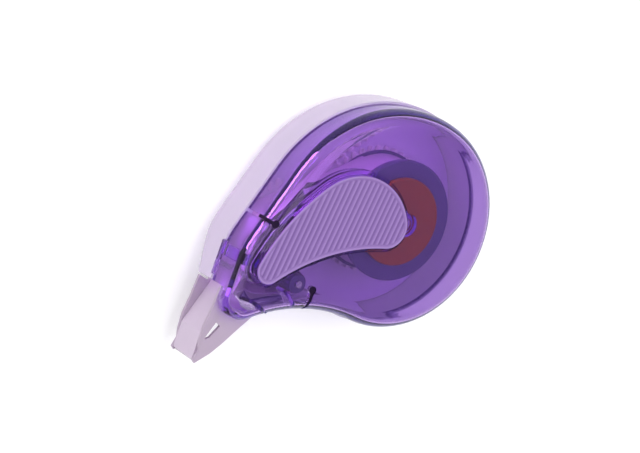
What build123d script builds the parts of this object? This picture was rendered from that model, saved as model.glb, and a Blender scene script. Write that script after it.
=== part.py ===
from build123d import *
from math import acos, asin, atan2, cos, degrees, hypot, pi, radians, sin, tan
import os

# Correction tape roller: a teardrop casing in two shells that holds a refillable
# tape cartridge. Millimetres. Z runs through the thickness with the back face on
# z = 0, the origin is the axis of the supply reel, -X points to the tip.

os.makedirs("parts", exist_ok=True)

# ---------------------------------------------------------------- driving sizes
BODY_THICK = 20.4        # back face to front face
SPLIT_Z = 11.0           # parting line between the two shells
WALL = 1.6               # wall of both shells
RUN_FIT = 0.05           # radial clearance of a running fit
SEAT_GAP = 0.1           # clearance between a seated piece and its recess
MOVE_GAP = 0.3           # clearance between pieces that move past each other

REAR_R = 24.6            # round rear end, centred on the supply reel
TOP_OFFSET = (-6.5, -3.2)    # centre of the larger arc along the top edge
SHOULDER = (-36.6, 18.3)     # where the top edge bends down to the nose
NOSE_HIGH = (-47.3, 8.2)     # upper corner of the nose before rounding
NOSE_LOW_X = -44.1           # lower corner of the nose, on the belly arc
BELLY_R = 39.0           # hollow lower edge
BELLY_ANGLE = -146.5     # where the hollow edge leaves the rear arc
SHOULDER_R = 18.0
NOSE_HIGH_R = 4.2
NOSE_LOW_R = 4.0
FRONT_FILLET = 4.4
FRONT_INNER_FILLET = 1.6     # tighter than the outside, so the rim is thick at the turn
BACK_FILLET = 4.0
BACK_LEDGE = 0.5         # the back shell stands this far proud of the front shell's rim

TAPER_START = -30.0      # the back face is flat up to here, then rises to the nose
TAPER_R = 20.0
TAPER_ANGLE = 17.0

HEAD_ANGLE = 207.8       # direction in which the head leaves the nose
NOSE_CUT = (-40.8, 6.5)  # point on the line where the shells open for the head
NOSE_REACH = 60.0        # size of the block that clears everything beyond that line

KEYHOLE_W = 0.8
KEYHOLE_R = 0.9
KEYHOLE_ENDS = [((-28.7, 19.5), 120.0), ((-27.1, 0.8), 232.0)]
KEYHOLE_LENGTH = 9.0
KEYHOLE_EYE_DEPTH = 1.8  # depth of the round end, from the front face

RIB_T = 0.8
COVER_RIB_LOW = 15.2
COVER_RIBS = [((-39.8, 5.4), (-38.2, 2.0)), ((-32.7, 4.0), (-31.8, -0.7))]
SNAP_BLOCK_AT = 2.6      # along the nose's upper edge from the shoulder
SNAP_BLOCK_W = 1.8
SNAP_BLOCK_LENGTH = 2.4
SNAP_BLOCK_SINK = 0.1    # how far the block grows into the wall
SNAP_BLOCK_DROP = 1.0    # below the inside of the front face

PRY_TAB_DROP = 0.6       # how far the pry tab reaches below the parting line
PRY_TAB_PROUD = BACK_LEDGE   # flush with the back shell
PRY_TAB_FIT = 0.15
PRY_TAB_START = 0.6      # along the nose's upper edge from the shoulder
PRY_TAB_END = 8.2

# Grip pad, a comma outline made of three circles and two linking arcs
PAD_TAIL = ((-34.2, 11.1), 3.1)
PAD_CROWN = ((-13.9, 5.4), 14.5)
PAD_HEEL_AT = (-4.6, 2.6)
PAD_TOP_LINK_R = 46.0
PAD_HOLLOW_LINK_R = 46.0
PAD_PROUD = 0.2
PAD_DEPTH = 1.8
PAD_BORDER = 0.8
RIB_PITCH = 1.3
RIB_GAP_W = 0.6
RIB_DEPTH = 0.3
RIB_ANGLE = 36.4
POCKET_WALL = 1.0
POCKET_FLOOR = 1.1
PAD_RIB_ROWS = 40
PAD_RIB_LENGTH = 90.0
BACK_PAD_DEPTH = 0.8      # recess in the back shell
BACK_PAD_SHIFT = 7.6      # keeps the back pad on the flat of the back
BACK_PAD_SET_IN = 0.1     # the back pad lies just inside the back face

# Tape and reels
TAPE_W = 8.4
TAPE_T = 0.15
TAPE_LIFT = 0.05         # the strands lie this far off the blade
FRAME_T = 1.2
GEAR_T = 1.5
GEAR_MODULE = 0.7
DRIVE_TEETH = 40
TAKEUP_TEETH = 26
TAKEUP_ANGLE = 155.7     # direction of the take-up axis from the supply axis
GEAR_BACKLASH = 0.22
GEAR_PRESSURE = 20.0     # pressure angle
GEAR_LEVELS = (-1.25, -0.4, 0.0, 0.95)   # flank stations from the pitch circle, in modules
FLANGE_T = 0.4
CORE_LIFT = 0.15         # reel cores ride this far above the gears
DRIVE_HOLES = 6          # lightening holes in the drive gear
DRIVE_HOLE_R = 2.4
DRIVE_HOLE_CIRCLE_R = 9.3
EDGE_CHAMFER = 0.3
SUPPLY_POST_R = 2.5
SUPPLY_SLEEVE_R = 3.6
SUPPLY_CORE_IN_R = 5.0
SUPPLY_CORE_R = 6.5
SUPPLY_ROLL_R = 13.2
SUPPLY_DISC_R = 13.94
SUPPLY_DISC_T = 1.4
HUB_DISC_R = 10.1
HUB_DISC_T = 1.0
COVER_BOSS_R = 2.7
COVER_BOSS_BORE_R = 1.5
CLUTCH_RING_T = 0.8
CLUTCH_RING_SET_IN = 1.5     # the ring is shorter than the tape is wide at each end
CLUTCH_NUB_R = 0.6
CLUTCH_NUBS = 3
CLUTCH_SPLIT_W = 0.8
CLUTCH_SPLIT_DEPTH = 3.0
TAKEUP_POST_R = 2.0
TAKEUP_SLEEVE_R = 3.0
TAKEUP_CORE_R = 4.6
TAKEUP_WIND_R = 6.3
TAKEUP_FLANGE_R = 6.7
TAKEUP_DISC_T = 0.9

# Tape guides
GUIDE_ROLLER_AT = (-27.6, 0.9)
GUIDE_ROLLER_R = 2.1
GUIDE_PIN_R = 0.8
UPPER_POST_AT = (-29.2, 17.4)
UPPER_POST_R = 1.1
NOSE_PIN_AT = (-38.0, 10.9)
NOSE_PIN_R = 0.6
GUIDE_ROLLER_OVERHANG = 0.3
GUIDE_PIN_OVERHANG = 1.0
UPPER_POST_OVERHANG = 0.6
UPPER_POST_ARC = (80, 125)   # headings where the tape meets and leaves the post
NOSE_PIN_ARC = (304, 294)
BOSSES = (((12.0, -8.0), 1.5), ((-8.0, 20.0), 1.5))   # seats of the frame in the back shell
SUPPLY_BOSS_R = 5.0
TAKEUP_BOSS_R = 4.0
BOSS_BORE_FLOOR = 0.4    # floor left over the cover boss
LINER_DROP = 0.18        # the returning liner runs this far below the blade
LINER_ROLLER_ARC = (240, 376)    # headings where the liner meets and leaves the roller
ROLL_LEAVES_AT = 80.0    # heading at which the tape leaves the supply roll
WIND_MEETS_AT = 196.0    # heading at which the liner meets the take-up wind
BLADE_ENTRY = (-1.6, -0.62)  # from the blade's first corner to where the tape lands
TIP_OVERHANG = 0.1

# Applicator head
CHEEK_T = 0.75
CHEEK_OUTLINE = [
    (-43.8, 11.2), (-47.4, 8.2), (-51.0, 5.6), (-53.5, 2.9), (-54.5, 1.3), (-56.5, 0.2),
    (-56.5, -0.6), (-52.5, -0.9), (-48.9, -0.6), (-45.1, 0.0), (-38.5, 0.8),
]
BLADE_OUTLINE = [
    (-40.6, 8.9), (-52.0, 4.1), (-56.1, 0.05), (-56.1, -0.5), (-52.0, 3.0), (-40.6, 7.6),
]
NEAR_WINDOW = [(-47.7, 3.3), (-50.9, 2.5), (-52.0, 2.7), (-51.9, 3.1), (-48.0, 4.7)]
FAR_WINDOW = [(-45.8, 2.9), (-50.2, 0.7), (-51.0, 1.3), (-49.2, 3.2), (-46.4, 4.4)]
BLADE_SLOT_X = -48.6     # middle of the slot through the blade
BLADE_SLOT_OFF = -1.1    # off the middle of the tape
BLADE_SLOT = (3.6, 0.8)
BLADE_SLOT_REACH = (4.5, 7.0)    # middle and length of the slot's cut through the blade
TANG_LENGTH = 10.0
TANG_OVERHANG = 1.0      # how far the tang reaches past the opening line
TANG_SEAT = (1.8, 8.5)   # the frame's seat, measured back from the opening line
FRAME_NOSE_END = 7.0     # the frame plate ends this far behind the opening line
TANG_W = 5.4
TANG_PIN_R = 0.8
TANG_PIN_PITCH = 4.0
TANG_PIN_ROOT = 0.5
SEAT_SINK = 0.4          # the head's seat grows this far into the frame plate


# ---------------------------------------------------------------- plane geometry
def unit(angle):
    return (cos(radians(angle)), sin(radians(angle)))


def along(point, direction, distance):
    return (point[0] + direction[0] * distance, point[1] + direction[1] * distance)


def angle_from(centre, point):
    return degrees(atan2(point[1] - centre[1], point[0] - centre[0]))


def arc_from(centre, radius, start, end, turn):
    """Arc about a centre between two points; turn is +1 anticlockwise, -1 clockwise."""
    first = angle_from(centre, start)
    sweep = (angle_from(centre, end) - first) * turn % 360.0 * turn
    middle = along(centre, unit(first + sweep / 2), radius)
    return ThreePointArc(start, middle, end)


def meeting_point(centre_a, reach_a, centre_b, reach_b, side):
    """Where two circles meet; side is +1 left or -1 right of the line from a to b."""
    span = hypot(centre_b[0] - centre_a[0], centre_b[1] - centre_a[1])
    heading = angle_from(centre_a, centre_b)
    spread = degrees(acos((reach_a**2 + span**2 - reach_b**2) / (2 * reach_a * span)))
    return along(centre_a, unit(heading + side * spread), reach_a)


# ---------------------------------------------------------------- casing outline
TOP_R = REAR_R + hypot(*TOP_OFFSET)
REAR_START = along((0, 0), unit(angle_from(TOP_OFFSET, (0, 0))), REAR_R)
REAR_END = along((0, 0), unit(BELLY_ANGLE), REAR_R)
BELLY_CENTRE = along((0, 0), unit(BELLY_ANGLE), REAR_R + BELLY_R)
NOSE_LOW_ANGLE = degrees(acos((NOSE_LOW_X - BELLY_CENTRE[0]) / BELLY_R))
NOSE_LOW = along(BELLY_CENTRE, unit(NOSE_LOW_ANGLE), BELLY_R)


def casing_outline():
    """Teardrop: rear arc, hollow belly arc, blunt nose, shoulder and top arc."""
    reach = hypot(SHOULDER[0] - TOP_OFFSET[0], SHOULDER[1] - TOP_OFFSET[1])
    heading = angle_from(SHOULDER, TOP_OFFSET) + degrees(asin(TOP_R / reach))
    roof_end = along(SHOULDER, unit(heading), (reach**2 - TOP_R**2) ** 0.5)
    edges = [
        arc_from((0, 0), REAR_R, REAR_START, REAR_END, -1),
        arc_from(BELLY_CENTRE, BELLY_R, REAR_END, NOSE_LOW, 1),
        Line(NOSE_LOW, NOSE_HIGH),
        Line(NOSE_HIGH, SHOULDER),
        Line(SHOULDER, roof_end),
        arc_from(TOP_OFFSET, TOP_R, roof_end, REAR_START, -1),
    ]
    face = make_face(edges)
    for corner, radius in ((SHOULDER, SHOULDER_R), (NOSE_HIGH, NOSE_HIGH_R), (NOSE_LOW, NOSE_LOW_R)):
        vertex = face.vertices().sort_by_distance((corner[0], corner[1], 0))[0]
        face = fillet(vertex, radius)
    return face


def pad_outline():
    """Comma: tail circle, crown circle and heel circle joined by two long arcs."""
    tail_at, tail_r = PAD_TAIL
    crown_at, crown_r = PAD_CROWN
    heel_r = crown_r - hypot(PAD_HEEL_AT[0] - crown_at[0], PAD_HEEL_AT[1] - crown_at[1])
    top_at = meeting_point(tail_at, PAD_TOP_LINK_R - tail_r, crown_at, PAD_TOP_LINK_R - crown_r, -1)
    low_at = meeting_point(
        tail_at, PAD_HOLLOW_LINK_R + tail_r, PAD_HEEL_AT, PAD_HOLLOW_LINK_R + heel_r, -1
    )
    crown_start = along(crown_at, unit(angle_from(top_at, crown_at)), crown_r)
    crown_end = along(crown_at, unit(angle_from(crown_at, PAD_HEEL_AT)), crown_r)
    heel_end = along(PAD_HEEL_AT, unit(angle_from(PAD_HEEL_AT, low_at)), heel_r)
    tail_start = along(tail_at, unit(angle_from(tail_at, low_at)), tail_r)
    tail_end = along(tail_at, unit(angle_from(top_at, tail_at)), tail_r)
    return make_face([
        arc_from(crown_at, crown_r, crown_start, crown_end, -1),
        arc_from(PAD_HEEL_AT, heel_r, crown_end, heel_end, -1),
        arc_from(low_at, PAD_HOLLOW_LINK_R, heel_end, tail_start, 1),
        arc_from(tail_at, tail_r, tail_start, tail_end, -1),
        arc_from(top_at, PAD_TOP_LINK_R, tail_end, crown_start, -1),
    ])


# ---------------------------------------------------------------- shared solids
def prism(face, low, high):
    return extrude(Pos(0, 0, low) * face, high - low)


def ring(at, inner_r, outer_r, low, high):
    disc = Circle(outer_r) - Circle(inner_r) if inner_r > 0 else Circle(outer_r)
    return prism(Pos(at[0], at[1]) * disc, low, high)


def polygon(points):
    return make_face(Polyline(*points, close=True))


def taper_block(rise):
    """Everything above the back face, which rises to the nose, lifted by rise."""
    far, high = 90.0, 60.0
    radius = TAPER_R - rise
    slope = unit(180.0 - TAPER_ANGLE)
    arc_end = (TAPER_START - radius * sin(radians(TAPER_ANGLE)),
               rise + radius * (1 - cos(radians(TAPER_ANGLE))))
    arc_mid = (TAPER_START - radius * sin(radians(TAPER_ANGLE / 2)),
               rise + radius * (1 - cos(radians(TAPER_ANGLE / 2))))
    nose_end = along(arc_end, slope, far)
    profile = make_face([
        Line((far, rise), (TAPER_START, rise)),
        ThreePointArc((TAPER_START, rise), arc_mid, arc_end),
        Line(arc_end, nose_end),
        Line(nose_end, (nose_end[0], high)),
        Line((nose_end[0], high), (far, high)),
        Line((far, high), (far, rise)),
    ])
    return extrude(Plane.XZ * profile, far, both=True)


def nose_block(low, high, setback=0.0):
    """Everything beyond the line where the shells open for the head."""
    start = along(NOSE_CUT, unit(HEAD_ANGLE), setback)
    block = Pos(NOSE_REACH / 2, 0, (low + high) / 2) * Box(NOSE_REACH, NOSE_REACH, high - low)
    return Pos(start[0], start[1], 0) * Rot(0, 0, HEAD_ANGLE) * block


def gear(at, teeth, phase, low, high):
    """Spur gear with flanks drawn through root, pitch and tip circles."""
    pitch_r = GEAR_MODULE * teeth / 2
    base_r = pitch_r * cos(radians(GEAR_PRESSURE))
    half_at_pitch = (pi / 2 - GEAR_BACKLASH / GEAR_MODULE / 2) / teeth

    def involute(radius):
        pressure = acos(min(1.0, base_r / radius))
        return tan(pressure) - pressure

    flank = []
    for level in GEAR_LEVELS:
        radius = pitch_r + level * GEAR_MODULE
        reach = max(radius, base_r)
        flank.append((radius, half_at_pitch + involute(pitch_r) - involute(reach)))
    points = []
    for tooth in range(teeth):
        centre = radians(phase) + 2 * pi * tooth / teeth
        outline = [(r, centre - a) for r, a in flank] + [(r, centre + a) for r, a in reversed(flank)]
        points += [(r * cos(a), r * sin(a)) for r, a in outline]
    return Pos(at[0], at[1]) * prism(polygon(points), low, high)


def ribbon(points, thickness, low, high):
    """Strip that follows a route, its thickness laid to the left of the route."""
    headings = [angle_from(a, b) for a, b in zip(points, points[1:])]
    shifted = []
    for index, point in enumerate(points):
        before = headings[max(index - 1, 0)]
        after = headings[min(index, len(headings) - 1)]
        half_turn = ((after - before + 180) % 360 - 180) / 2
        reach = thickness / cos(radians(half_turn))
        shifted.append(along(point, unit(before + half_turn + 90), reach))
    return prism(polygon(points + shifted[::-1]), low, high)


def round_route(centre, radius, first, last, steps=6):
    """Points on an arc about a guide, from the first heading angle to the last."""
    return [along(centre, unit(first + (last - first) * i / steps), radius) for i in range(steps + 1)]


# ---------------------------------------------------------------- shared places
OUTLINE = casing_outline()
BACK_OUTLINE = offset(OUTLINE, amount=BACK_LEDGE)
INNER = offset(OUTLINE, amount=-WALL)
PAD = pad_outline()
CAVITY_TOP = BODY_THICK - WALL
FRAME_Z = WALL + MOVE_GAP
FRAME_TOP = FRAME_Z + FRAME_T
GEAR_Z = FRAME_TOP + MOVE_GAP
GEAR_TOP = GEAR_Z + GEAR_T
CENTRE_DISTANCE = GEAR_MODULE * (DRIVE_TEETH + TAKEUP_TEETH) / 2
TAKEUP_AT = along((0, 0), unit(TAKEUP_ANGLE), CENTRE_DISTANCE)
CORE_LOW = GEAR_TOP + CORE_LIFT
TAPE_LOW = CORE_LOW + FLANGE_T + RUN_FIT
TAPE_HIGH = TAPE_LOW + TAPE_W
TAPE_MID_Z = (TAPE_LOW + TAPE_HIGH) / 2
CORE_HIGH = TAPE_HIGH + SEAT_GAP
DISC_TOP = CORE_HIGH + SUPPLY_DISC_T
HUB_DISC_LOW = DISC_TOP + SEAT_GAP
HUB_DISC_TOP = HUB_DISC_LOW + HUB_DISC_T
HEAD_LOW = TAPE_LOW - SEAT_GAP - CHEEK_T
HEAD_HIGH = TAPE_HIGH + SEAT_GAP + CHEEK_T
NOSE_RIM_Z = HEAD_HIGH + MOVE_GAP
PAD_TOP = BODY_THICK + PAD_PROUD
PAD_LOW = BODY_THICK - PAD_DEPTH
POCKET_LOW = PAD_LOW - POCKET_FLOOR
COVER_CLEAR_Z = HUB_DISC_TOP + MOVE_GAP
KEYHOLE_EYE_LOW = BODY_THICK - KEYHOLE_EYE_DEPTH
NOSE_EDGE = angle_from(SHOULDER, NOSE_HIGH)
FRAME_SEAT_Z = FRAME_TOP - SEAT_SINK
TAKEUP_TOP = CORE_HIGH + TAKEUP_DISC_T
TANG_PINS = [
    along(NOSE_CUT, unit(HEAD_ANGLE), -sum(TANG_SEAT) / 2 + side * TANG_PIN_PITCH / 2)
    for side in (-1, 1)
]


def pry_tab(clearance):
    """Finger tab under the front shell's rim, on the upper edge of the nose."""
    length = PRY_TAB_END - PRY_TAB_START + 2 * clearance
    middle = along(SHOULDER, unit(NOSE_EDGE), (PRY_TAB_START + PRY_TAB_END) / 2)
    depth = WALL + PRY_TAB_PROUD + 2 * clearance
    inward = along(middle, unit(NOSE_EDGE + 90), WALL / 2 - PRY_TAB_PROUD / 2)
    height = PRY_TAB_DROP + clearance
    block = Pos(0, 0, SPLIT_Z - height / 2) * Box(length, depth, height)
    return Pos(inward[0], inward[1], 0) * Rot(0, 0, NOSE_EDGE) * block


# ---------------------------------------------------------------- shells and grips
def front_cover():
    body = prism(OUTLINE, SPLIT_Z, BODY_THICK)
    body = fillet(body.edges().group_by(Axis.Z)[-1], FRONT_FILLET)
    hollow = prism(INNER, SPLIT_Z, CAVITY_TOP)
    hollow = fillet(hollow.edges().group_by(Axis.Z)[-1], FRONT_INNER_FILLET)
    body -= hollow
    pocket = offset(PAD, amount=POCKET_WALL)
    body += prism(pocket, POCKET_LOW, CAVITY_TOP)
    body += prism(pocket - PAD, COVER_CLEAR_Z, POCKET_LOW)
    body += ring((0, 0), 0, COVER_BOSS_R, COVER_CLEAR_Z, CAVITY_TOP)
    body -= ring((0, 0), 0, COVER_BOSS_BORE_R, HUB_DISC_TOP, PAD_LOW - BOSS_BORE_FLOOR)
    body -= prism(offset(PAD, amount=SEAT_GAP), PAD_LOW, PAD_TOP)
    body -= nose_block(SPLIT_Z, NOSE_RIM_Z)
    for start, end in COVER_RIBS:
        body += rib(start, end, COVER_RIB_LOW, CAVITY_TOP)
    clip = along(SHOULDER, unit(NOSE_EDGE), SNAP_BLOCK_AT)
    clip = along(clip, unit(NOSE_EDGE + 90), WALL + SNAP_BLOCK_W / 2 - SNAP_BLOCK_SINK)
    clip_top = CAVITY_TOP - SNAP_BLOCK_DROP
    block = Box(SNAP_BLOCK_LENGTH, SNAP_BLOCK_W, clip_top - SPLIT_Z)
    block = Pos(0, 0, (SPLIT_Z + clip_top) / 2) * block
    body += Pos(clip[0], clip[1], 0) * Rot(0, 0, NOSE_EDGE) * block
    for end, heading in KEYHOLE_ENDS:
        slot = Pos(KEYHOLE_LENGTH / 2, 0, BODY_THICK / 2) * Box(KEYHOLE_LENGTH, KEYHOLE_W, BODY_THICK + 2)
        body -= Pos(end[0], end[1], SPLIT_Z) * Rot(0, 0, heading) * slot
        body -= ring(end, 0, KEYHOLE_R, KEYHOLE_EYE_LOW, BODY_THICK)
    return body + pry_tab(0.0)


def rib(start, end, low, high):
    length = hypot(end[0] - start[0], end[1] - start[1])
    middle = ((start[0] + end[0]) / 2, (start[1] + end[1]) / 2, (low + high) / 2)
    return Pos(*middle) * Rot(0, 0, angle_from(start, end)) * Box(length, RIB_T, high - low)


def back_cover():
    body = prism(BACK_OUTLINE, 0, SPLIT_Z) & taper_block(0.0)
    lower = body.edges().filter_by(lambda edge: edge.center().Z < SPLIT_Z / 2)
    lower = lower.filter_by(lambda edge: not is_upright(edge) and not is_crease(edge))
    body = fillet(lower, BACK_FILLET)
    hollow = prism(INNER, WALL, SPLIT_Z) & taper_block(WALL)
    body -= hollow
    for at, radius in (((0, 0), SUPPLY_BOSS_R), (TAKEUP_AT, TAKEUP_BOSS_R)) + BOSSES:
        body += ring(at, 0, radius, WALL / 2, FRAME_Z)
    body -= Pos(BACK_PAD_SHIFT, 0, 0) * prism(offset(PAD, amount=SEAT_GAP), 0, BACK_PAD_DEPTH)
    body -= nose_block(-1, SPLIT_Z)
    return body - pry_tab(PRY_TAB_FIT)


def is_upright(edge):
    box = edge.bounding_box()
    return box.size.Z > 3.0 and box.size.X < 0.5 and box.size.Y < 0.5


def is_crease(edge):
    box = edge.bounding_box()
    return box.size.X < 0.01 and box.size.Z < 0.01 and box.size.Y > 8.0


def ribbed_pad(low, high, face_at, inward):
    """Pad with a smooth border and slanted ribs on the face at the given height."""
    comb = Sketch()
    for row in range(PAD_RIB_ROWS):
        shift = (row - (PAD_RIB_ROWS - 1) / 2) * RIB_PITCH
        comb += Pos(0, shift) * Rectangle(PAD_RIB_LENGTH, RIB_GAP_W)
    comb = Pos(*PAD_CROWN[0]) * Rot(0, 0, RIB_ANGLE) * comb
    grooves = offset(PAD, amount=-PAD_BORDER) & comb
    floor = face_at + inward * RIB_DEPTH
    return prism(PAD, low, high) - prism(grooves, min(face_at, floor), max(face_at, floor))


# ---------------------------------------------------------------- cartridge frame
def cartridge_frame():
    """Base plate with the reel posts, the tape guides and the seat for the head."""
    plate = prism(offset(INNER, amount=-MOVE_GAP), FRAME_Z, FRAME_TOP)
    plate &= taper_block(FRAME_Z)
    plate -= nose_block(0, BODY_THICK, -FRAME_NOSE_END)
    seat_mid = along(NOSE_CUT, unit(HEAD_ANGLE), -sum(TANG_SEAT) / 2)
    seat_size = (TANG_SEAT[1] - TANG_SEAT[0], TANG_W, HEAD_LOW - FRAME_SEAT_Z)
    seat = Pos(0, 0, (FRAME_SEAT_Z + HEAD_LOW) / 2) * Box(*seat_size)
    seat = Pos(seat_mid[0], seat_mid[1], 0) * Rot(0, 0, HEAD_ANGLE) * seat
    body = plate + (seat & taper_block(FRAME_Z))
    body += ring((0, 0), 0, SUPPLY_POST_R, FRAME_Z, HUB_DISC_TOP)
    body += ring(TAKEUP_AT, 0, TAKEUP_POST_R, FRAME_Z, TAKEUP_TOP)
    body += ring(UPPER_POST_AT, 0, UPPER_POST_R, FRAME_Z, TAPE_HIGH + UPPER_POST_OVERHANG)
    body -= ring(GUIDE_ROLLER_AT, 0, GUIDE_PIN_R, FRAME_Z - 1, FRAME_TOP)
    for pin in TANG_PINS:
        body += ring(pin, 0, TANG_PIN_R, HEAD_LOW - TANG_PIN_ROOT, HEAD_LOW + CHEEK_T)
    return body


# ---------------------------------------------------------------- applicator head
def applicator_head():
    """Two cheeks joined by a slanted blade, and a tang that seats on the frame."""
    cheek = polygon(CHEEK_OUTLINE)
    far = prism(cheek, HEAD_LOW, HEAD_LOW + CHEEK_T) - prism(polygon(FAR_WINDOW), 0, TAPE_MID_Z)
    near = prism(cheek, HEAD_HIGH - CHEEK_T, HEAD_HIGH)
    near -= prism(polygon(NEAR_WINDOW), TAPE_MID_Z, BODY_THICK)
    blade = prism(polygon(BLADE_OUTLINE), HEAD_LOW + CHEEK_T, HEAD_HIGH - CHEEK_T)
    slot = Box(BLADE_SLOT[0], BLADE_SLOT_REACH[1], BLADE_SLOT[1])
    blade -= Pos(BLADE_SLOT_X, BLADE_SLOT_REACH[0], TAPE_MID_Z + BLADE_SLOT_OFF) * slot
    body = (near + blade) & nose_block(0, BODY_THICK, MOVE_GAP)
    body += far & nose_block(0, BODY_THICK, MOVE_GAP)
    tang_mid = along(NOSE_CUT, unit(HEAD_ANGLE), TANG_OVERHANG - TANG_LENGTH / 2)
    tang = Pos(0, 0, HEAD_LOW + CHEEK_T / 2) * Box(TANG_LENGTH, TANG_W, CHEEK_T)
    body += Pos(tang_mid[0], tang_mid[1], 0) * Rot(0, 0, HEAD_ANGLE) * tang
    for pin in TANG_PINS:
        body -= ring(pin, 0, TANG_PIN_R + RUN_FIT, HEAD_LOW - 1, HEAD_LOW + CHEEK_T)
    return body


# ---------------------------------------------------------------- reels and gears
def drive_gear():
    body = gear((0, 0), DRIVE_TEETH, TAKEUP_ANGLE, GEAR_Z, GEAR_TOP)
    body += ring((0, 0), 0, SUPPLY_SLEEVE_R, GEAR_Z, HUB_DISC_LOW)
    for spoke in range(DRIVE_HOLES):
        hole = along((0, 0), unit(360 / DRIVE_HOLES * (spoke + 0.5)), DRIVE_HOLE_CIRCLE_R)
        body -= ring(hole, 0, DRIVE_HOLE_R, GEAR_Z, GEAR_TOP)
    return body - ring((0, 0), 0, SUPPLY_POST_R + RUN_FIT, 0, BODY_THICK)


def clutch_ring():
    """Split spring ring on the drive sleeve whose nubs drag the reel core round."""
    inner = SUPPLY_SLEEVE_R + RUN_FIT
    outer = inner + CLUTCH_RING_T
    low, high = TAPE_LOW + CLUTCH_RING_SET_IN, TAPE_HIGH - CLUTCH_RING_SET_IN
    body = ring((0, 0), inner, outer, low, high)
    reach = SUPPLY_CORE_IN_R - RUN_FIT
    for nub in range(CLUTCH_NUBS):
        at = along((0, 0), unit(360 / CLUTCH_NUBS * nub), reach - CLUTCH_NUB_R)
        body += ring(at, 0, CLUTCH_NUB_R, low, high)
    split = Box(CLUTCH_SPLIT_DEPTH, CLUTCH_SPLIT_W, TAPE_W)
    split = Pos(-(inner + outer) / 2, 0, TAPE_MID_Z) * split
    return body - split - ring((0, 0), 0, inner, 0, BODY_THICK)


def hub_disc():
    body = ring((0, 0), SUPPLY_POST_R + RUN_FIT, HUB_DISC_R, HUB_DISC_LOW, HUB_DISC_TOP)
    return chamfer(body.edges().group_by(Axis.Z)[-1].sort_by(SortBy.LENGTH)[-1], EDGE_CHAMFER)


def supply_core():
    body = ring((0, 0), SUPPLY_CORE_IN_R, SUPPLY_CORE_R, CORE_LOW, CORE_HIGH)
    return body + ring((0, 0), SUPPLY_CORE_IN_R, SUPPLY_DISC_R, CORE_LOW, CORE_LOW + FLANGE_T)


def supply_disc():
    body = ring((0, 0), SUPPLY_CORE_IN_R, SUPPLY_DISC_R, CORE_HIGH, DISC_TOP)
    return chamfer(body.edges().group_by(Axis.Z)[-1].sort_by(SortBy.LENGTH)[-1], EDGE_CHAMFER)


def takeup_gear():
    gap_phase = TAKEUP_ANGLE + 180 + 180 / TAKEUP_TEETH
    body = gear(TAKEUP_AT, TAKEUP_TEETH, gap_phase, GEAR_Z, GEAR_TOP)
    body += ring(TAKEUP_AT, 0, TAKEUP_SLEEVE_R, GEAR_Z, CORE_HIGH)
    return body - ring(TAKEUP_AT, 0, TAKEUP_POST_R + RUN_FIT, 0, BODY_THICK)


def takeup_core():
    inner = TAKEUP_SLEEVE_R + RUN_FIT
    body = ring(TAKEUP_AT, inner, TAKEUP_CORE_R, GEAR_TOP, CORE_HIGH)
    return body + ring(TAKEUP_AT, inner, TAKEUP_FLANGE_R, GEAR_TOP, CORE_LOW + FLANGE_T)


def takeup_disc():
    return ring(TAKEUP_AT, TAKEUP_POST_R + RUN_FIT, TAKEUP_FLANGE_R, CORE_HIGH, TAKEUP_TOP)


# ---------------------------------------------------------------- tape strands
def feed_strand():
    """From the supply roll over the upper post, under the nose pin, to the tip."""
    post = round_route(UPPER_POST_AT, UPPER_POST_R + RUN_FIT, *UPPER_POST_ARC)
    leave = along((0, 0), unit(ROLL_LEAVES_AT), SUPPLY_ROLL_R + MOVE_GAP)
    pin = round_route(NOSE_PIN_AT, NOSE_PIN_R + RUN_FIT + TAPE_T, *NOSE_PIN_ARC, 2)
    blade_start = (BLADE_OUTLINE[0][0] + BLADE_ENTRY[0],
                   BLADE_OUTLINE[0][1] + BLADE_ENTRY[1] + TAPE_LIFT)
    blade_bend = (BLADE_OUTLINE[1][0], BLADE_OUTLINE[1][1] + TAPE_LIFT)
    blade_end = (BLADE_OUTLINE[2][0] - TIP_OVERHANG, BLADE_OUTLINE[2][1] + TAPE_LIFT)
    route = [leave] + post + pin + [blade_start, blade_bend, blade_end]
    return ribbon(route[::-1], TAPE_T, TAPE_LOW, TAPE_HIGH)


def return_strand():
    """From the tip along the blade's underside, round the guide roller, to the take-up."""
    tip = (BLADE_OUTLINE[3][0] - TIP_OVERHANG, BLADE_OUTLINE[3][1] - LINER_DROP)
    under = (BLADE_OUTLINE[4][0], BLADE_OUTLINE[4][1] - LINER_DROP)
    mouth = (BLADE_OUTLINE[5][0], BLADE_OUTLINE[5][1] - LINER_DROP)
    roller = round_route(GUIDE_ROLLER_AT, GUIDE_ROLLER_R + RUN_FIT, *LINER_ROLLER_ARC, 9)
    last = along(TAKEUP_AT, unit(WIND_MEETS_AT), TAKEUP_WIND_R + MOVE_GAP)
    return ribbon([last] + roller[::-1] + [mouth, under, tip], TAPE_T, TAPE_LOW, TAPE_HIGH)


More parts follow.
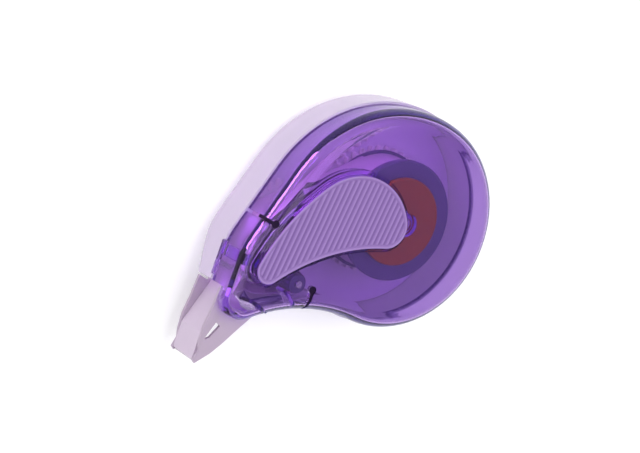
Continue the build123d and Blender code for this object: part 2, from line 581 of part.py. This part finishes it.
# ---------------------------------------------------------------- every piece
PIECES = {
    "back_cover": back_cover(),
    "back_grip_pad": Pos(BACK_PAD_SHIFT, 0, 0)
    * ribbed_pad(BACK_PAD_SET_IN, BACK_PAD_DEPTH, BACK_PAD_SET_IN, 1),
    "front_cover": front_cover(),
    "grip_pad": ribbed_pad(PAD_LOW, PAD_TOP, PAD_TOP, -1),
    "cartridge_frame": cartridge_frame(),
    "applicator_head": applicator_head(),
    "nose_guide_pin": ring(NOSE_PIN_AT, 0, NOSE_PIN_R, HEAD_LOW + CHEEK_T, HEAD_HIGH),
    "drive_gear": drive_gear(),
    "clutch_ring": clutch_ring(),
    "hub_disc": hub_disc(),
    "supply_core": supply_core(),
    "supply_disc": supply_disc(),
    "supply_tape_roll": ring((0, 0), SUPPLY_CORE_R, SUPPLY_ROLL_R, TAPE_LOW, TAPE_HIGH),
    "takeup_gear": takeup_gear(),
    "takeup_core": takeup_core(),
    "takeup_disc": takeup_disc(),
    "takeup_wind": ring(TAKEUP_AT, TAKEUP_CORE_R, TAKEUP_WIND_R, TAPE_LOW, TAPE_HIGH),
    "guide_roller": ring(
        GUIDE_ROLLER_AT, GUIDE_PIN_R + RUN_FIT, GUIDE_ROLLER_R,
        TAPE_LOW - GUIDE_ROLLER_OVERHANG, TAPE_HIGH + GUIDE_ROLLER_OVERHANG,
    ),
    "guide_roller_pin": ring(GUIDE_ROLLER_AT, 0, GUIDE_PIN_R, FRAME_Z, TAPE_HIGH + GUIDE_PIN_OVERHANG),
    "feed_tape": feed_strand(),
    "return_liner": return_strand(),
}

for name, piece in PIECES.items():
    export_step(piece, f"parts/{name}.step")
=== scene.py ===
import math

import bmesh
import bpy
import numpy as np
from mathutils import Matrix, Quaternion, Vector


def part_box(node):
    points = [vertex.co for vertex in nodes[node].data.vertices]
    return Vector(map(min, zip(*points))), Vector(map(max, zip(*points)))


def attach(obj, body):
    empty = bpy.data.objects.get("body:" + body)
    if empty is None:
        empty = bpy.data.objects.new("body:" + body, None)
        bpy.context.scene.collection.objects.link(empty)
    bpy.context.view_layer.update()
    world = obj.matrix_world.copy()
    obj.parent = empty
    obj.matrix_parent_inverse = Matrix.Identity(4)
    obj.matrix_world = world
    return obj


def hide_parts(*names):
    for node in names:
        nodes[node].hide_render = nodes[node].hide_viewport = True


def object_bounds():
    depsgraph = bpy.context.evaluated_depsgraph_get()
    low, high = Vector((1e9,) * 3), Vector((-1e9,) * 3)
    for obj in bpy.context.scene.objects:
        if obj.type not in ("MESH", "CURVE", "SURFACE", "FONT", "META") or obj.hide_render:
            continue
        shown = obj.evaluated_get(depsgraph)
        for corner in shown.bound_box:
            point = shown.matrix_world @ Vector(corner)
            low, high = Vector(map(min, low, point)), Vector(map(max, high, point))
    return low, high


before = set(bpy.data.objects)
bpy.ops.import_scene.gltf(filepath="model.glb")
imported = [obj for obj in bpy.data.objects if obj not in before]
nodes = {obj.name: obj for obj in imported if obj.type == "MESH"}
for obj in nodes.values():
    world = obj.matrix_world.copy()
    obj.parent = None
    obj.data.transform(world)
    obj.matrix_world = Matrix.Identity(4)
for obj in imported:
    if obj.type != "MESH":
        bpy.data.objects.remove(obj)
CAD_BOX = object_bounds()


# ---------------------------------------------------------------- back cover
# The back half of the casing: one injection-moulded tray of milky, faintly
# violet polystyrene with a polished outside. Everything else stands in it.

def shader_graph(name):
    """A new material: its node tree, its Principled shader and its Object coordinates."""
    material = bpy.data.materials.new(name)
    material.use_nodes = True
    tree = material.node_tree
    principled = tree.nodes["Principled BSDF"]
    place = tree.nodes.new("ShaderNodeTexCoord").outputs["Object"]
    return material, tree, principled, place


def noise(tree, place, scale, detail=2.0):
    """A soft noise between 0 and 1, with features 1/scale metres across."""
    texture = tree.nodes.new("ShaderNodeTexNoise")
    texture.inputs["Scale"].default_value = scale
    texture.inputs["Detail"].default_value = detail
    tree.links.new(place, texture.inputs["Vector"])
    return texture.outputs["Fac"]


def spread(tree, value, low, high):
    """value carried from the middle of its 0..1 range to low..high."""
    span = tree.nodes.new("ShaderNodeMapRange")
    span.inputs["From Min"].default_value = 0.3
    span.inputs["From Max"].default_value = 0.7
    span.inputs["To Min"].default_value = low
    span.inputs["To Max"].default_value = high
    tree.links.new(value, span.inputs["Value"])
    return span.outputs["Result"]


def drift(tree, value, colour, other):
    """A colour that drifts between colour and other with value."""
    mix = tree.nodes.new("ShaderNodeMix")
    mix.data_type = "RGBA"
    mix.inputs[6].default_value = (*colour, 1.0)
    mix.inputs[7].default_value = (*other, 1.0)
    tree.links.new(value, mix.inputs[0])
    return mix.outputs[2]


def bumped(tree, principled, value, height):
    """Raises the surface by value times height metres."""
    bump = tree.nodes.new("ShaderNodeBump")
    bump.inputs["Strength"].default_value = 1.0
    bump.inputs["Distance"].default_value = height
    tree.links.new(value, bump.inputs["Height"])
    tree.links.new(bump.outputs["Normal"], principled.inputs["Normal"])


def moulded(name, colour, other, rough, grain, height, **sockets):
    """A moulded plastic: colour drifts to other, roughness between rough's two values,
    and a grain of that scale stands height metres proud. sockets are set on the shader."""
    material, tree, principled, place = shader_graph(name)
    cloud = noise(tree, place, 180.0)
    tree.links.new(drift(tree, cloud, colour, other), principled.inputs["Base Color"])
    tree.links.new(spread(tree, noise(tree, place, 900.0), *rough), principled.inputs["Roughness"])
    bumped(tree, principled, noise(tree, place, grain), height)
    for socket, value in sockets.items():
        principled.inputs[socket.replace("_", " ")].default_value = value
    return material


def lets_lamps_in(material, tint):
    """Lamps shine through the plastic, tinted, to what it covers."""
    tree = material.node_tree
    output = tree.nodes["Material Output"]
    clear = tree.nodes.new("ShaderNodeBsdfTransparent")
    clear.inputs["Color"].default_value = (*tint, 1.0)
    path = tree.nodes.new("ShaderNodeLightPath")
    either = tree.nodes.new("ShaderNodeMixShader")
    tree.links.new(path.outputs["Is Shadow Ray"], either.inputs[0])
    tree.links.new(tree.nodes["Principled BSDF"].outputs[0], either.inputs[1])
    tree.links.new(clear.outputs[0], either.inputs[2])
    tree.links.new(either.outputs[0], output.inputs["Surface"])


def finish(node, material):
    """Gives every slot of a CAD node the material."""
    for slot in nodes[node].material_slots:
        slot.material = material


milky = moulded(
    "milky_plastic", (0.73, 0.66, 0.79), (0.77, 0.70, 0.83), (0.18, 0.26), 2600.0, 2e-6,
    IOR=1.5, Transmission_Weight=0.35,
)
lets_lamps_in(milky, (0.50, 0.46, 0.53))
finish("back_cover", milky)


# ---------------------------------------------------------------- cartridge frame
# The refill's base plate with its posts: a satin moulding in natural polystyrene
# that drops over the bosses of the back cover.

finish("cartridge_frame", moulded(
    "chassis_plastic", (0.66, 0.62, 0.70), (0.69, 0.65, 0.73), (0.3, 0.4), 2200.0, 3e-6,
))


# ---------------------------------------------------------------- gears and clutch
# The drive gear and the take-up gear are acetal and run dry; the hub disc and
# the spring ring that grips the reel are moulded in a tan grade of their own.

acetal = moulded("gear_acetal", (0.76, 0.73, 0.72), (0.80, 0.77, 0.76), (0.3, 0.4), 2200.0, 3e-6)
finish("drive_gear", acetal)
finish("takeup_gear", acetal)
tan = moulded("tan_plastic", (0.36, 0.082, 0.002), (0.42, 0.10, 0.004), (0.3, 0.4), 2200.0, 3e-6)
finish("hub_disc", tan)
finish("clutch_ring", tan)


# ---------------------------------------------------------------- reels and roller
# Cores with their flanges, flange discs and the guide roller: satin blue-grey.

blue_grey = moulded(
    "blue_grey_plastic", (0.105, 0.10, 0.19), (0.125, 0.12, 0.215), (0.3, 0.42), 2200.0, 3e-6,
)
for node in ("supply_core", "supply_disc", "takeup_core", "takeup_disc", "guide_roller"):
    finish(node, blue_grey)


# ---------------------------------------------------------------- pins
# Two ground steel wires: the roller's pin and the pin the tape bends round.

steel = moulded(
    "steel_wire", (0.62, 0.62, 0.64), (0.66, 0.66, 0.68), (0.2, 0.3), 4000.0, 1e-6, Metallic=1.0,
)
finish("nose_guide_pin", steel)
finish("guide_roller_pin", steel)


# ---------------------------------------------------------------- tape and liner
# White correction coating on its carrier, and the bare glassine film that
# comes back from the tip, wound up on the take-up reel.

tape = moulded("correction_tape", (0.55, 0.465, 0.575), (0.59, 0.50, 0.61), (0.5, 0.65), 3000.0, 3e-6)
finish("feed_tape", tape)
finish("supply_tape_roll", tape)
film = moulded(
    "liner_film", (0.80, 0.76, 0.80), (0.84, 0.80, 0.84), (0.15, 0.25), 3000.0, 2e-6,
    IOR=1.45, Transmission_Weight=0.7,
)
lets_lamps_in(film, (0.75, 0.72, 0.75))
finish("return_liner", film)
finish("takeup_wind", film)


# ---------------------------------------------------------------- applicator head
# Slim satin moulding, slightly see-through, pinned to the frame by its tang and
# held between the shells at the nose.

head = moulded(
    "head_plastic", (0.49, 0.39, 0.51), (0.53, 0.43, 0.55), (0.28, 0.36), 2400.0, 4e-6,
    IOR=1.5, Transmission_Weight=0.2,
)
lets_lamps_in(head, (0.30, 0.26, 0.31))
finish("applicator_head", head)


# ---------------------------------------------------------------- front cover
# The clear violet half: polished transparent polystyrene, 1.6 mm thick, that
# hooks on at the nose and snaps round the rim.

violet, tree, principled, place = shader_graph("violet_clear")
principled.inputs["Base Color"].default_value = (0.77, 0.755, 0.80, 1.0)
principled.inputs["Transmission Weight"].default_value = 1.0
principled.inputs["IOR"].default_value = 1.52
principled.inputs["Specular Tint"].default_value = (0.74, 0.52, 1.0, 1.0)
tree.links.new(spread(tree, noise(tree, place, 500.0), 0.02, 0.05), principled.inputs["Roughness"])
bumped(tree, principled, noise(tree, place, 90.0), 1.2e-6)
depth = tree.nodes.new("ShaderNodeVolumeAbsorption")
depth.inputs["Color"].default_value = (0.50, 0.0, 0.92, 1.0)
depth.inputs["Density"].default_value = 300.0
tree.links.new(depth.outputs[0], tree.nodes["Material Output"].inputs["Volume"])
lets_lamps_in(violet, (0.66, 0.44, 0.85))
finish("front_cover", violet)


# ---------------------------------------------------------------- keyhole shade strips
# Painted shade: dark violet, near-black strips set just under the surface of the two keyhole slots to
# stand for the shade in them.
# The slots start in a round eye on the face and run out over the edge of the cover.

MM = 1e-3
KEYHOLES = (("upper", (-28.7, 19.5), 120.0), ("lower", (-27.1, 0.8), 232.0))
EYE_R, SLOT_HALF = 0.86, 0.38
SUNK, SHADE_STRIP_T = 0.1, 0.55      # depth of the painted-shade strip's top, and how thick it is
CHAMFER = 0.08                  # along the strip's long edges
BLUNT_HALF = 0.02               # half width at the very start, so the end has a face
SEARCH = 9.0                    # the slot ends within this distance of its eye
EDGE_R = 4.4                    # the cover's rounded edge
EDGE_SWEEP = math.radians(58.0) # how far the slot runs round that edge
CORNERS = 8                     # of the strip's section

shell = nodes["front_cover"].data
shell_at = np.empty(len(shell.vertices) * 3)
shell.vertices.foreach_get("co", shell_at)
shell_at = shell_at.reshape(-1, 3) / MM
# The strips' near-black violet is painted shade in the keyhole slots, not a colour of the cover.
slot_shade = moulded(
    "violet_painted_shade", (0.010, 0.003, 0.022), (0.014, 0.005, 0.028), (0.6, 0.7), 2200.0, 2e-6,
    Specular_IOR_Level=0.1,
)


def riding(name, points, faces):
    """A piece from points in metres: doubles merged, faces turned outwards."""
    mesh = bpy.data.meshes.new(name)
    mesh.from_pydata(points.tolist(), [], faces)
    shape = bmesh.new()
    shape.from_mesh(mesh)
    bmesh.ops.remove_doubles(shape, verts=shape.verts, dist=2e-6)
    bmesh.ops.dissolve_degenerate(shape, edges=shape.edges, dist=1e-7)
    bmesh.ops.recalc_face_normals(shape, faces=shape.faces)
    shape.to_mesh(mesh)
    shape.free()
    piece = bpy.data.objects.new(name, mesh)
    bpy.context.scene.collection.objects.link(piece)
    return piece


def keyhole_shade_strip(name, eye, degrees):
    """A dark strip that stands for the shade in the slot, painted shade: flat from the eye to the
    rounded edge, then point = edge centre + radius (sin, cos) of the turn.
    sqrt(radius^2 - walk^2), down to that of the slot, and its section is a chamfered
    rectangle that lies between two depths below the cover's surface."""
    ahead = np.array((math.cos(math.radians(degrees)), math.sin(math.radians(degrees))))
    left = np.array((-ahead[1], ahead[0]))
    walk, off = (shell_at[:, :2] - eye) @ ahead, (shell_at[:, :2] - eye) @ left
    reach = walk[(np.abs(off) < 2 * SLOT_HALF) & (walk > 0.0) & (walk < SEARCH)].max()
    top = shell_at[:, 2].max()
    flat = max(reach - EDGE_R, -EYE_R)
    u = np.linspace(-EYE_R, max(flat, 0.0) + EDGE_R * EDGE_SWEEP, 90)
    turn = np.clip(u - flat, 0.0, None) / EDGE_R
    run = np.minimum(u, flat) + EDGE_R * np.sin(turn)
    high = top - EDGE_R + EDGE_R * np.cos(turn)
    eye_half = np.sqrt(np.clip(EYE_R**2 - run**2, 0.0, None))
    half = np.maximum(eye_half, np.where(run > 0.0, SLOT_HALF, BLUNT_HALF))
    cut = np.minimum(CHAMFER, half / 2)
    side = np.stack((half - cut, half, half, half - cut, cut - half, -half, -half, cut - half), axis=1)
    low = SHADE_STRIP_T - CHAMFER
    sink = SUNK + np.array((0.0, CHAMFER, low, SHADE_STRIP_T, SHADE_STRIP_T, low, CHAMFER, 0.0))
    along = run[:, None] - np.sin(turn)[:, None] * sink
    level = high[:, None] - np.cos(turn)[:, None] * sink
    flatwise = np.asarray(eye) + along[..., None] * ahead + side[..., None] * left
    points = np.concatenate((flatwise, level[..., None]), axis=-1).reshape(-1, 3) * MM
    row, step = np.meshgrid(np.arange(len(u) - 1), np.arange(CORNERS), indexing="ij")
    after = (step + 1) % CORNERS
    walls = np.stack((row * CORNERS + step, row * CORNERS + after,
                      (row + 1) * CORNERS + after, (row + 1) * CORNERS + step), axis=-1)
    ends = [list(range(CORNERS)), list(range(len(points) - CORNERS, len(points)))]
    return riding(name, points, walls.reshape(-1, 4).tolist() + ends)


for name, eye, degrees in KEYHOLES:
    shade_strip = keyhole_shade_strip(f"keyhole_shade_strip_{name}", eye, degrees)
    shade_strip.data.materials.append(slot_shade)
    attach(shade_strip, "front_shell")


# ---------------------------------------------------------------- grip pads
# Soft-touch lilac elastomer, moulded with a raised lip round slanted ribs and
# glued in a shallow pocket in each half.

TAIL, TAIL_R = np.array((-34.2, 11.1)), 3.1
CROWN, CROWN_R = np.array((-13.9, 5.4)), 14.5
HEEL = np.array((-4.6, 2.6))
HEEL_R = CROWN_R - np.linalg.norm(HEEL - CROWN)
LINK_R = 46.0
STATIONS = 320       # round each long side of the pad
ACROSS = 110         # from side to side of the ribbed field
RIB_PITCH = 1.3
RIB_TURN = math.radians(36.4)
RIB_HEIGHT = 0.16
RIB_FADE = 0.35      # the ribs die out over this distance from the lip
FIELD_LEVEL = -0.19  # the ribbed field, below the top of the lip
LIP_WIDTH = 0.8
PAINTED_LIGHT_DEPTH = 0.3    # the paler colour, painted highlight, reaches this far below the lip top; deeper lies the darker colour, painted shade in the grooves
HEEL_TURN = 0.5      # radians past the heel at which the two long sides meet


def link_centre(a, reach_a, b, reach_b):
    """Where circles of the two reaches about a and b meet, right of the line a to b."""
    span = np.linalg.norm(b - a)
    along = (reach_a**2 + span**2 - reach_b**2) / (2 * span)
    u = (b - a) / span
    return a + u * along + np.array((u[1], -u[0])) * math.sqrt(reach_a**2 - along**2)


def heading(a, b):
    """The angle of the line from a to b."""
    return math.atan2(b[1] - a[1], b[0] - a[0])


def side_of_comma(arcs):
    """Equal steps along a chain of arcs (centre, radius, first and last heading, side):
    point = centre + radius (cos, sin) of the heading, and the outward normal is that
    direction times side, +1 on a bulging arc and -1 on a hollow one."""
    lengths = np.array([r * abs(b - a) for _, r, a, b, _ in arcs])
    ends = np.concatenate(([0.0], np.cumsum(lengths)))
    walk = np.linspace(0.0, ends[-1], STATIONS)
    part = np.clip(np.searchsorted(ends, walk, side="right") - 1, 0, len(arcs) - 1)
    centre = np.array([c for c, *_ in arcs])[part]
    radius, first, last, side = np.array([a[1:] for a in arcs]).T[:, part]
    turn = first + (last - first) * (walk - ends[part]) / lengths[part]
    out = np.stack((np.cos(turn), np.sin(turn)), axis=1)
    return centre + out * radius[:, None], out * side[:, None]


def unwound(first, last, way):
    """last, moved by whole turns to lie beyond first on the given way round."""
    return first + way * ((last - first) * way % (2 * math.pi))


top_link = link_centre(TAIL, LINK_R - TAIL_R, CROWN, LINK_R - CROWN_R)
low_link = link_centre(TAIL, LINK_R + TAIL_R, HEEL, LINK_R + HEEL_R)
tail_out, heel_out = heading(CROWN, TAIL), heading(CROWN, HEEL)
top_a, top_b = heading(top_link, TAIL), heading(top_link, CROWN)
low_a, low_b = heading(TAIL, low_link), heading(HEEL, low_link)
above = side_of_comma([
    (TAIL, TAIL_R, tail_out, unwound(tail_out, top_a, -1), 1.0),
    (top_link, LINK_R, top_a, unwound(top_a, top_b, -1), 1.0),
    (CROWN, CROWN_R, top_b, unwound(top_b, heel_out, -1), 1.0),
    (HEEL, HEEL_R, heel_out, heel_out - HEEL_TURN, 1.0),
])
below = side_of_comma([
    (TAIL, TAIL_R, tail_out, unwound(tail_out, low_a, 1), 1.0),
    (low_link, LINK_R, low_a + math.pi, unwound(low_a + math.pi, low_b + math.pi, -1), -1.0),
    (HEEL, HEEL_R, low_b, unwound(low_b, heel_out - HEEL_TURN, 1), 1.0),
])


def pad_mesh(name, face, depth, way, shift):
    """A comma-shaped pad. Its edge is the outline carried in along the normal and up a
    rounded lip; its field is ruled between the two sides, point = upper + v (lower -
    upper), and carries ribs of height cos(2 pi s / pitch) with s measured across them,
    which fade out at the lip. The back is ruled between the same two sides, flat."""
    lip = np.array([
        (0.0, -depth), (0.0, -depth / 2), (0.0, -0.25), (0.03, -0.14), (0.09, -0.05), (0.19, 0.0),
        (0.32, 0.0), (0.43, -0.02), (0.52, -0.08), (0.62, -0.16), (LIP_WIDTH, FIELD_LEVEL),
    ])
    loop = np.concatenate((above[0], below[0][::-1]))
    out = np.concatenate((above[1], below[1][::-1]))
    rings = loop[None] - lip[:, 0, None, None] * out[None]
    level = np.repeat(lip[:, 1], len(loop))
    edge = np.column_stack((rings.reshape(-1, 2), level))

    v = np.linspace(0.0, 1.0, ACROSS)[:, None, None]
    upper, lower = (side - LIP_WIDTH * normal for side, normal in (above, below))
    field = upper + v * (lower - upper)
    chord = np.linalg.norm(lower - upper, axis=1)
    inside = np.minimum(v[..., 0], 1.0 - v[..., 0]) * chord / RIB_FADE
    fade = np.clip(inside, 0.0, 1.0)
    fade = fade * fade * (3.0 - 2.0 * fade)
    across = (field - CROWN) @ np.array((-math.sin(RIB_TURN), math.cos(RIB_TURN)))
    rise = FIELD_LEVEL + RIB_HEIGHT * fade * np.cos(2 * math.pi * across / RIB_PITCH)
    field = np.column_stack((field.reshape(-1, 2), rise.reshape(-1)))

    count = len(loop)
    ring, step = np.meshgrid(np.arange(len(lip) - 1), np.arange(count), indexing="ij")
    after = (step + 1) % count
    sides = np.stack((ring * count + step, ring * count + after,
                      (ring + 1) * count + after, (ring + 1) * count + step), axis=-1)
    row, column = np.meshgrid(np.arange(ACROSS - 1), np.arange(STATIONS - 1), indexing="ij")
    corner = len(edge) + row * STATIONS + column
    ribbed = np.stack((corner, corner + 1, corner + STATIONS + 1, corner + STATIONS), axis=-1)
    column = np.arange(STATIONS - 1)
    back = np.stack((column, column + 1, count - 2 - column, count - 1 - column), axis=-1)
    faces = np.concatenate([part.reshape(-1, 4) for part in (sides, ribbed, back)])

    points = np.concatenate((edge, field))
    points = np.column_stack((points[:, 0] + shift, points[:, 1], face + way * points[:, 2])) * MM
    piece = riding(name, points, faces.tolist())
    mesh = piece.data
    # Painted light by height: 1 at the top of the lip, falling to 0 down in the rib grooves.
    painted_crest_light = np.empty(len(mesh.vertices) * 3)
    mesh.vertices.foreach_get("co", painted_crest_light)
    painted_crest_light = np.clip(1.0 - (face * MM - painted_crest_light[2::3]) * way / (PAINTED_LIGHT_DEPTH * MM), 0.0, 1.0)
    mesh.attributes.new("painted_crest_light", "FLOAT", "POINT").data.foreach_set("value", painted_crest_light)
    mesh.shade_smooth()
    return piece


lilac, tree, principled, place = shader_graph("lilac_rubber")
painted_light_attribute = tree.nodes.new("ShaderNodeAttribute")
painted_light_attribute.attribute_name = "painted_crest_light"
deep = drift(tree, noise(tree, place, 260.0), (0.175, 0.088, 0.305), (0.195, 0.10, 0.33))
# Paler violet near the top of the pad is painted highlight on the lip and rib crests; the darker
# colour deeper down is painted shade in the grooves.
painted_light_mix = tree.nodes.new("ShaderNodeMix")
painted_light_mix.data_type = "RGBA"
painted_light_mix.inputs[7].default_value = (0.31, 0.19, 0.48, 1.0)
tree.links.new(painted_light_attribute.outputs["Fac"], painted_light_mix.inputs[0])
tree.links.new(deep, painted_light_mix.inputs[6])
tree.links.new(painted_light_mix.outputs[2], principled.inputs["Base Color"])
tree.links.new(spread(tree, noise(tree, place, 1500.0), 0.46, 0.6), principled.inputs["Roughness"])
principled.inputs["IOR"].default_value = 1.48
bumped(tree, principled, noise(tree, place, 5200.0), 1.0e-5)

front_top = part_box("grip_pad")[1].z / MM
grip = pad_mesh("grip_pad_ribbed", front_top, front_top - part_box("grip_pad")[0].z / MM, 1.0, 0.0)
grip.data.materials.append(lilac)
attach(grip, "front_shell")
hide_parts("grip_pad")
back_low, back_high = (corner.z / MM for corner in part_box("back_grip_pad"))
back_shift = (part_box("back_grip_pad")[0].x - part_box("grip_pad")[0].x) / MM
back_grip = pad_mesh("back_grip_pad_ribbed", back_low, back_high - back_low, -1.0, back_shift)
back_grip.data.materials.append(lilac)
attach(back_grip, "casing")
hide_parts("back_grip_pad")


# ---------------------------------------------------------------- studio
# A pale sweep, a soft sky all round, two broad lamps and a low strip that draws
# a streak along the rounded edge.

FLOOR = 1.6
FLOOR_DROP = 2e-5    # keeps the floor clear of the back cover's flat face
PAPER_GLOW = 0.22    # lifts the paper to white where it is looked at, or mirrored
bpy.ops.mesh.primitive_plane_add(size=FLOOR, location=(0.0, 0.0, CAD_BOX[0].z - FLOOR_DROP))
floor = bpy.context.object
floor.name = "floor"
paper, tree, principled, place = shader_graph("floor_paper")
tree.links.new(
    drift(tree, noise(tree, place, 60.0), (0.86, 0.86, 0.86), (0.88, 0.88, 0.88)),
    principled.inputs["Base Color"],
)
principled.inputs["Roughness"].default_value = 0.9
principled.inputs["Specular IOR Level"].default_value = 0.1
glow = tree.nodes.new("ShaderNodeLightPath")
seen = tree.nodes.new("ShaderNodeMath")
seen.operation = "MAXIMUM"
also = tree.nodes.new("ShaderNodeMath")
also.operation = "MAXIMUM"
tree.links.new(glow.outputs["Is Camera Ray"], seen.inputs[0])
tree.links.new(glow.outputs["Is Glossy Ray"], seen.inputs[1])
tree.links.new(seen.outputs[0], also.inputs[0])
tree.links.new(glow.outputs["Is Transmission Ray"], also.inputs[1])
lift = tree.nodes.new("ShaderNodeMath")
lift.operation = "MULTIPLY"
lift.inputs[1].default_value = PAPER_GLOW
tree.links.new(also.outputs[0], lift.inputs[0])
principled.inputs["Emission Color"].default_value = (1.0, 1.0, 1.0, 1.0)
tree.links.new(lift.outputs[0], principled.inputs["Emission Strength"])
floor.data.materials.append(paper)

scene = bpy.context.scene
world = bpy.data.worlds.new("studio")
scene.world = world
world.use_nodes = True
sky = world.node_tree
sky.nodes["Background"].inputs["Color"].default_value = (0.98, 0.98, 1.0, 1.0)
sky.nodes["Background"].inputs["Strength"].default_value = 0.75


def softbox(name, place, aim, size, watts, colour=(1.0, 1.0, 1.0)):
    """A rectangular lamp at place that faces aim."""
    lamp = bpy.data.lights.new(name, "AREA")
    lamp.shape = "RECTANGLE"
    lamp.size, lamp.size_y = size
    lamp.energy = watts
    lamp.color = colour
    holder = bpy.data.objects.new(name, lamp)
    holder.location = place
    holder.rotation_euler = (Vector(aim) - Vector(place)).to_track_quat("-Z", "Y").to_euler()
    scene.collection.objects.link(holder)
    return holder


softbox("top_softbox", (0.15, 0.1, 0.55), (-0.01, 0.0, 0.0), (0.4, 0.4), 1.2)
softbox("side_softbox", (-0.30, 0.33, 0.34), (-0.01, 0.01, 0.01), (0.42, 0.42), 0.9)
rim = softbox(
    "rim_strip", (-0.14, 0.42, 0.05), (-0.02, 0.01, 0.012), (0.32, 0.09), 3.0, (0.90, 0.45, 1.0),
)
rim.visible_diffuse = False
rim.visible_camera = False

# Light is followed through the many turns it takes in the thick clear rim, which
# would otherwise turn black.
scene.cycles.max_bounces = 32
scene.cycles.transmission_bounces = 32


# ---------------------------------------------------------------- camera
# Long lens, from above the nose side, turned about its own line of sight.

AIM = Vector((-0.01534, 0.00674, 0.010))
EYE = Vector((-0.14841, 0.20130, 0.32757))
ROLL = math.radians(116.607)
lens = bpy.data.cameras.new("camera")
lens.lens = 100.575
lens.sensor_width = 36.0
lens.clip_start = 0.01
lens.clip_end = 10.0
camera = bpy.data.objects.new("camera", lens)
camera.location = EYE
camera.rotation_mode = "QUATERNION"
facing = (AIM - EYE).to_track_quat("-Z", "Y")
camera.rotation_quaternion = facing @ Quaternion((0.0, 0.0, 1.0), ROLL)
scene.collection.objects.link(camera)
scene.camera = camera
scene.view_settings.view_transform = "Standard"
